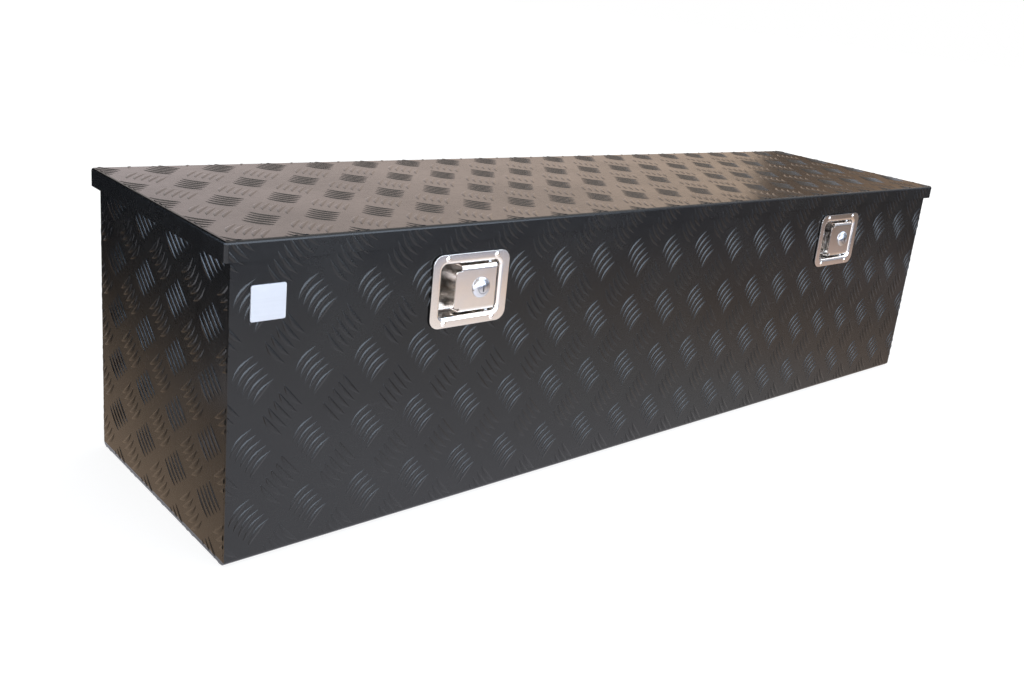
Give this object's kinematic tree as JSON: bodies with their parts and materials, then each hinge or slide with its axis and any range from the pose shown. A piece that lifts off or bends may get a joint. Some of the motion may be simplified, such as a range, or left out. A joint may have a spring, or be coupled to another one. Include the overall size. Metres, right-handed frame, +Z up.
{
  "type": "trailer tongue tool box",
  "caption": "Long rectangular tread-plate storage box with an overhanging hinged lid, recessed keyed paddle latches and gas struts.",
  "frame": {"origin": "middle of the footprint of the closed box, on the surface it stands on", "axes": "+X along the length, to the right when facing the latches; +Z up; the latched front faces -Y"},
  "size_m": [1.236, 0.32, 0.321],
  "materials": {
    "black_coat": "satin black powder coat on embossed tread plate",
    "latch_steel": "fine satin stainless steel",
    "lock_chrome": "polished chrome plate",
    "badge_metal": "bright satin, blank",
    "hinge_steel": "satin stainless steel",
    "zinc_steel": "bright zinc plate",
    "strut_steel": "black gloss paint",
    "rod_chrome": "hard chrome, polished",
    "socket_plastic": "matt black moulding",
    "seal_rubber": "matt black rubber"
  },
  "bodies": {
    "box": {"body_wrap": "black_coat", "end_panel_left": "black_coat", "end_panel_right": "black_coat", "rim_seal": "seal_rubber", "badge_plate": "badge_metal", "hinge_leaf_body": "hinge_steel", "hinge_pin": "hinge_steel", "strut_stud_body_left": "zinc_steel", "strut_stud_body_right": "zinc_steel", "latch_pan_left": "latch_steel", "latch_gasket_left": "seal_rubber", "latch_rivet_left_1": "latch_steel", "latch_rivet_left_2": "latch_steel", "latch_rivet_left_3": "latch_steel", "latch_rivet_left_4": "latch_steel", "paddle_pin_left": "zinc_steel", "bolt_guide_left": "zinc_steel", "bolt_spring_left": "zinc_steel", "latch_pan_right": "latch_steel", "latch_gasket_right": "seal_rubber", "latch_rivet_right_1": "latch_steel", "latch_rivet_right_2": "latch_steel", "latch_rivet_right_3": "latch_steel", "latch_rivet_right_4": "latch_steel", "paddle_pin_right": "zinc_steel", "bolt_guide_right": "zinc_steel", "bolt_spring_right": "zinc_steel"},
    "lid": {"lid_shell": "black_coat", "lid_stiffener_left": "black_coat", "lid_stiffener_right": "black_coat", "hinge_leaf_lid": "hinge_steel", "striker_left": "zinc_steel", "striker_right": "zinc_steel", "strut_bracket_lid_left": "zinc_steel", "strut_bracket_lid_right": "zinc_steel"},
    "strut_tube_left": {"strut_cylinder_left": "strut_steel", "strut_socket_lower_left": "socket_plastic"},
    "strut_tube_right": {"strut_cylinder_right": "strut_steel", "strut_socket_lower_right": "socket_plastic"},
    "strut_piston_left": {"strut_rod_left": "rod_chrome", "strut_socket_upper_left": "socket_plastic"},
    "strut_piston_right": {"strut_rod_right": "rod_chrome", "strut_socket_upper_right": "socket_plastic"},
    "paddle_handle_left": {"paddle_left": "latch_steel", "lock_barrel_left": "lock_chrome", "paddle_spring_left": "zinc_steel"},
    "paddle_handle_right": {"paddle_right": "latch_steel", "lock_barrel_right": "lock_chrome", "paddle_spring_right": "zinc_steel"},
    "key_cylinder_left": {"key_plug_left": "lock_chrome", "lock_cam_left": "zinc_steel", "cam_nut_left": "zinc_steel"},
    "key_cylinder_right": {"key_plug_right": "lock_chrome", "lock_cam_right": "zinc_steel", "cam_nut_right": "zinc_steel"},
    "slide_bolt_left": {"bolt_left": "zinc_steel"},
    "slide_bolt_right": {"bolt_right": "zinc_steel"}
  },
  "joints": [
    {"name": "lid_hinge", "type": "hinge", "parent": "box", "child": "lid", "pos_m": [0, 0.15665, 0.2972], "axis": [-1, 0, 0], "range_deg": [0, 70]},
    {"name": "strut_foot_left", "type": "hinge", "parent": "box", "child": "strut_tube_left", "pos_m": [-0.5815, 0.12535, 0.1848], "axis": [-1, 0, 0], "range_deg": [0, 25]},
    {"name": "strut_foot_right", "type": "hinge", "parent": "box", "child": "strut_tube_right", "pos_m": [0.5815, 0.12535, 0.1848], "axis": [-1, 0, 0], "range_deg": [0, 25]},
    {"name": "strut_stroke_left", "type": "slide", "parent": "strut_tube_left", "child": "strut_piston_left", "axis": [0, -0.392, 0.92], "range_m": [0, 0.0642]},
    {"name": "strut_stroke_right", "type": "slide", "parent": "strut_tube_right", "child": "strut_piston_right", "axis": [0, -0.392, 0.92], "range_m": [0, 0.0642]},
    {"name": "paddle_swing_left", "type": "hinge", "parent": "box", "child": "paddle_handle_left", "pos_m": [-0.316, -0.14795, 0.2475], "axis": [0, 0, 1], "range_deg": [0, 28], "stiffness_Nm_per_rad": 0.4, "springref_deg": -28.65},
    {"name": "paddle_swing_right", "type": "hinge", "parent": "box", "child": "paddle_handle_right", "pos_m": [0.388, -0.14795, 0.2475], "axis": [0, 0, 1], "range_deg": [0, 28], "stiffness_Nm_per_rad": 0.4, "springref_deg": -28.65},
    {"name": "bolt_slide_left", "type": "slide", "parent": "box", "child": "slide_bolt_left", "axis": [-1, 0, 0], "range_m": [0, 0.0112], "stiffness_N_per_m": 400, "springref_m": -0.01, "deforming": ["bolt_spring_left"]},
    {"name": "bolt_slide_right", "type": "slide", "parent": "box", "child": "slide_bolt_right", "axis": [-1, 0, 0], "range_m": [0, 0.0112], "stiffness_N_per_m": 400, "springref_m": -0.01, "deforming": ["bolt_spring_right"]},
    {"name": "key_turn_left", "type": "hinge", "parent": "paddle_handle_left", "child": "key_cylinder_left", "pos_m": [-0.3307, -0.15525, 0.2475], "axis": [0, 1, 0], "range_deg": [0, 90]},
    {"name": "key_turn_right", "type": "hinge", "parent": "paddle_handle_right", "child": "key_cylinder_right", "pos_m": [0.3733, -0.15525, 0.2475], "axis": [0, 1, 0], "range_deg": [0, 90]}
  ],
  "couplings": [
    {"joint": "strut_foot_left", "follows": "lid_hinge", "ratio": 0.35456},
    {"joint": "strut_foot_right", "follows": "lid_hinge", "ratio": 0.35456},
    {"joint": "strut_stroke_left", "follows": "lid_hinge", "m_per_rad": 0.052442},
    {"joint": "strut_stroke_right", "follows": "lid_hinge", "m_per_rad": 0.052442},
    {"joint": "bolt_slide_left", "follows": "paddle_swing_left", "m_per_rad": 0.022918},
    {"joint": "bolt_slide_right", "follows": "paddle_swing_right", "m_per_rad": 0.022918}
  ]
}
